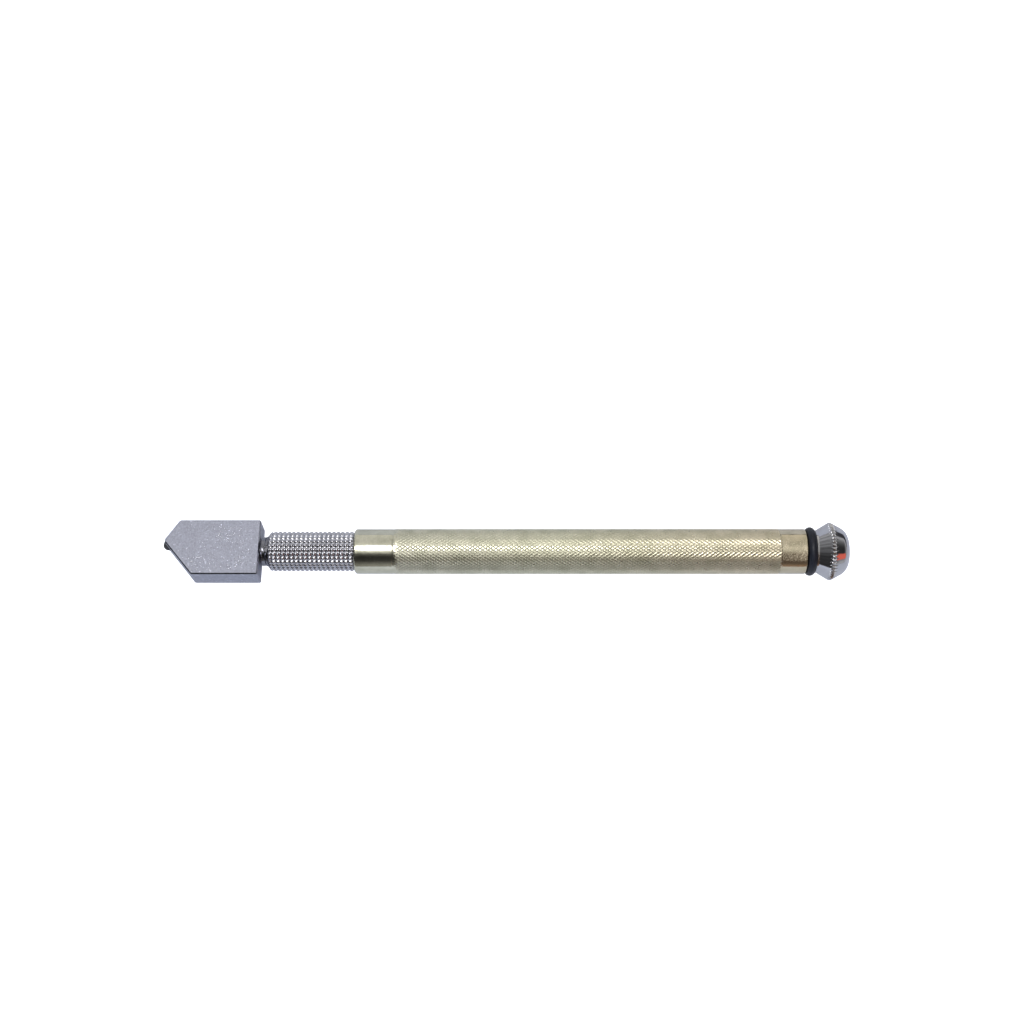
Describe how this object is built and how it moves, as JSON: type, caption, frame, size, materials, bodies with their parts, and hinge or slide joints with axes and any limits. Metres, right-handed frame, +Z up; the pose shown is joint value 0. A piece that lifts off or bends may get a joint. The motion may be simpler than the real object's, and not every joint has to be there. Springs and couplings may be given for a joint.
{
  "type": "glass cutter",
  "caption": "Pencil-grip oil-feed glass cutter: wide swivelling head with a carbide wheel, knurled ferrule, knurled brass barrel that holds the oil, and a screw cap on an O-ring.",
  "frame": {"origin": "under the middle of the tool, on the surface that the cap's rim touches; the barrel's axis lies 7.3 mm above it", "axes": "+X along the barrel from the cutting head to the filler cap, +Z up, +Y to the left when looking along +X"},
  "size_m": [0.1742, 0.016, 0.0146],
  "materials": {
    "carbide": "ground dark carbide, satin",
    "axle_steel": "ground steel pin",
    "head_metal": "satin grey die casting with fine grain",
    "shank_steel": "blackened steel",
    "shank_brass": "turned brass",
    "felt": "oiled felt",
    "black_rubber": "smooth black nitrile",
    "ferrule_chrome": "bright chrome on pyramid knurl",
    "screw_steel": "blued grub screw",
    "spring_steel": "spring wire",
    "bush_brass": "turned brass",
    "barrel_brass": "pale brass-coloured plating on diamond knurl",
    "cap_chrome": "bright chrome"
  },
  "bodies": {
    "handle": {"barrel": "barrel_brass", "ferrule": "ferrule_chrome", "set_screw": "screw_steel", "ferrule_oring": "black_rubber", "front_bush": "bush_brass", "valve_retainer": "bush_brass", "valve_spring": "spring_steel", "filler_bush": "bush_brass"},
    "valve": {"valve_stem": "shank_brass", "valve_seal": "black_rubber"},
    "head": {"head_body": "head_metal", "head_shank": "shank_steel", "head_wick": "felt", "shank_oring": "black_rubber", "wheel_axle": "axle_steel"},
    "wheel": {"cutting_wheel": "carbide"},
    "cap_seal": {"cap_oring": "black_rubber"},
    "cap": {"cap_knob": "cap_chrome", "cap_stud": "bush_brass"}
  },
  "joints": [
    {"name": "valve_press", "type": "slide", "parent": "handle", "child": "valve", "axis": [1, 0, 0], "range_m": [0, 0.0004], "stiffness_N_per_m": 1000, "springref_m": -0.002, "deforming": ["valve_spring"]},
    {"name": "head_swivel", "type": "hinge", "parent": "valve", "child": "head", "pos_m": [-0.06198, 0, 0.0073], "axis": [1, 0, 0], "continuous": true},
    {"name": "wheel_spin", "type": "hinge", "parent": "head", "child": "wheel", "pos_m": [-0.08553, 0.00177, 0.00676], "axis": [0, 0.2924, 0.9563], "continuous": true},
    {"name": "cap_turn", "type": "hinge", "parent": "cap_seal", "child": "cap", "pos_m": [0.07858, 0, 0.0073], "axis": [1, 0, 0], "range_deg": [0, 2520]},
    {"name": "cap_travel", "type": "slide", "parent": "handle", "child": "cap_seal", "axis": [1, 0, 0], "range_m": [0, 0.007]}
  ],
  "couplings": [
    {"joint": "cap_travel", "follows": "cap_turn", "m_per_rad": 0.00015915}
  ]
}
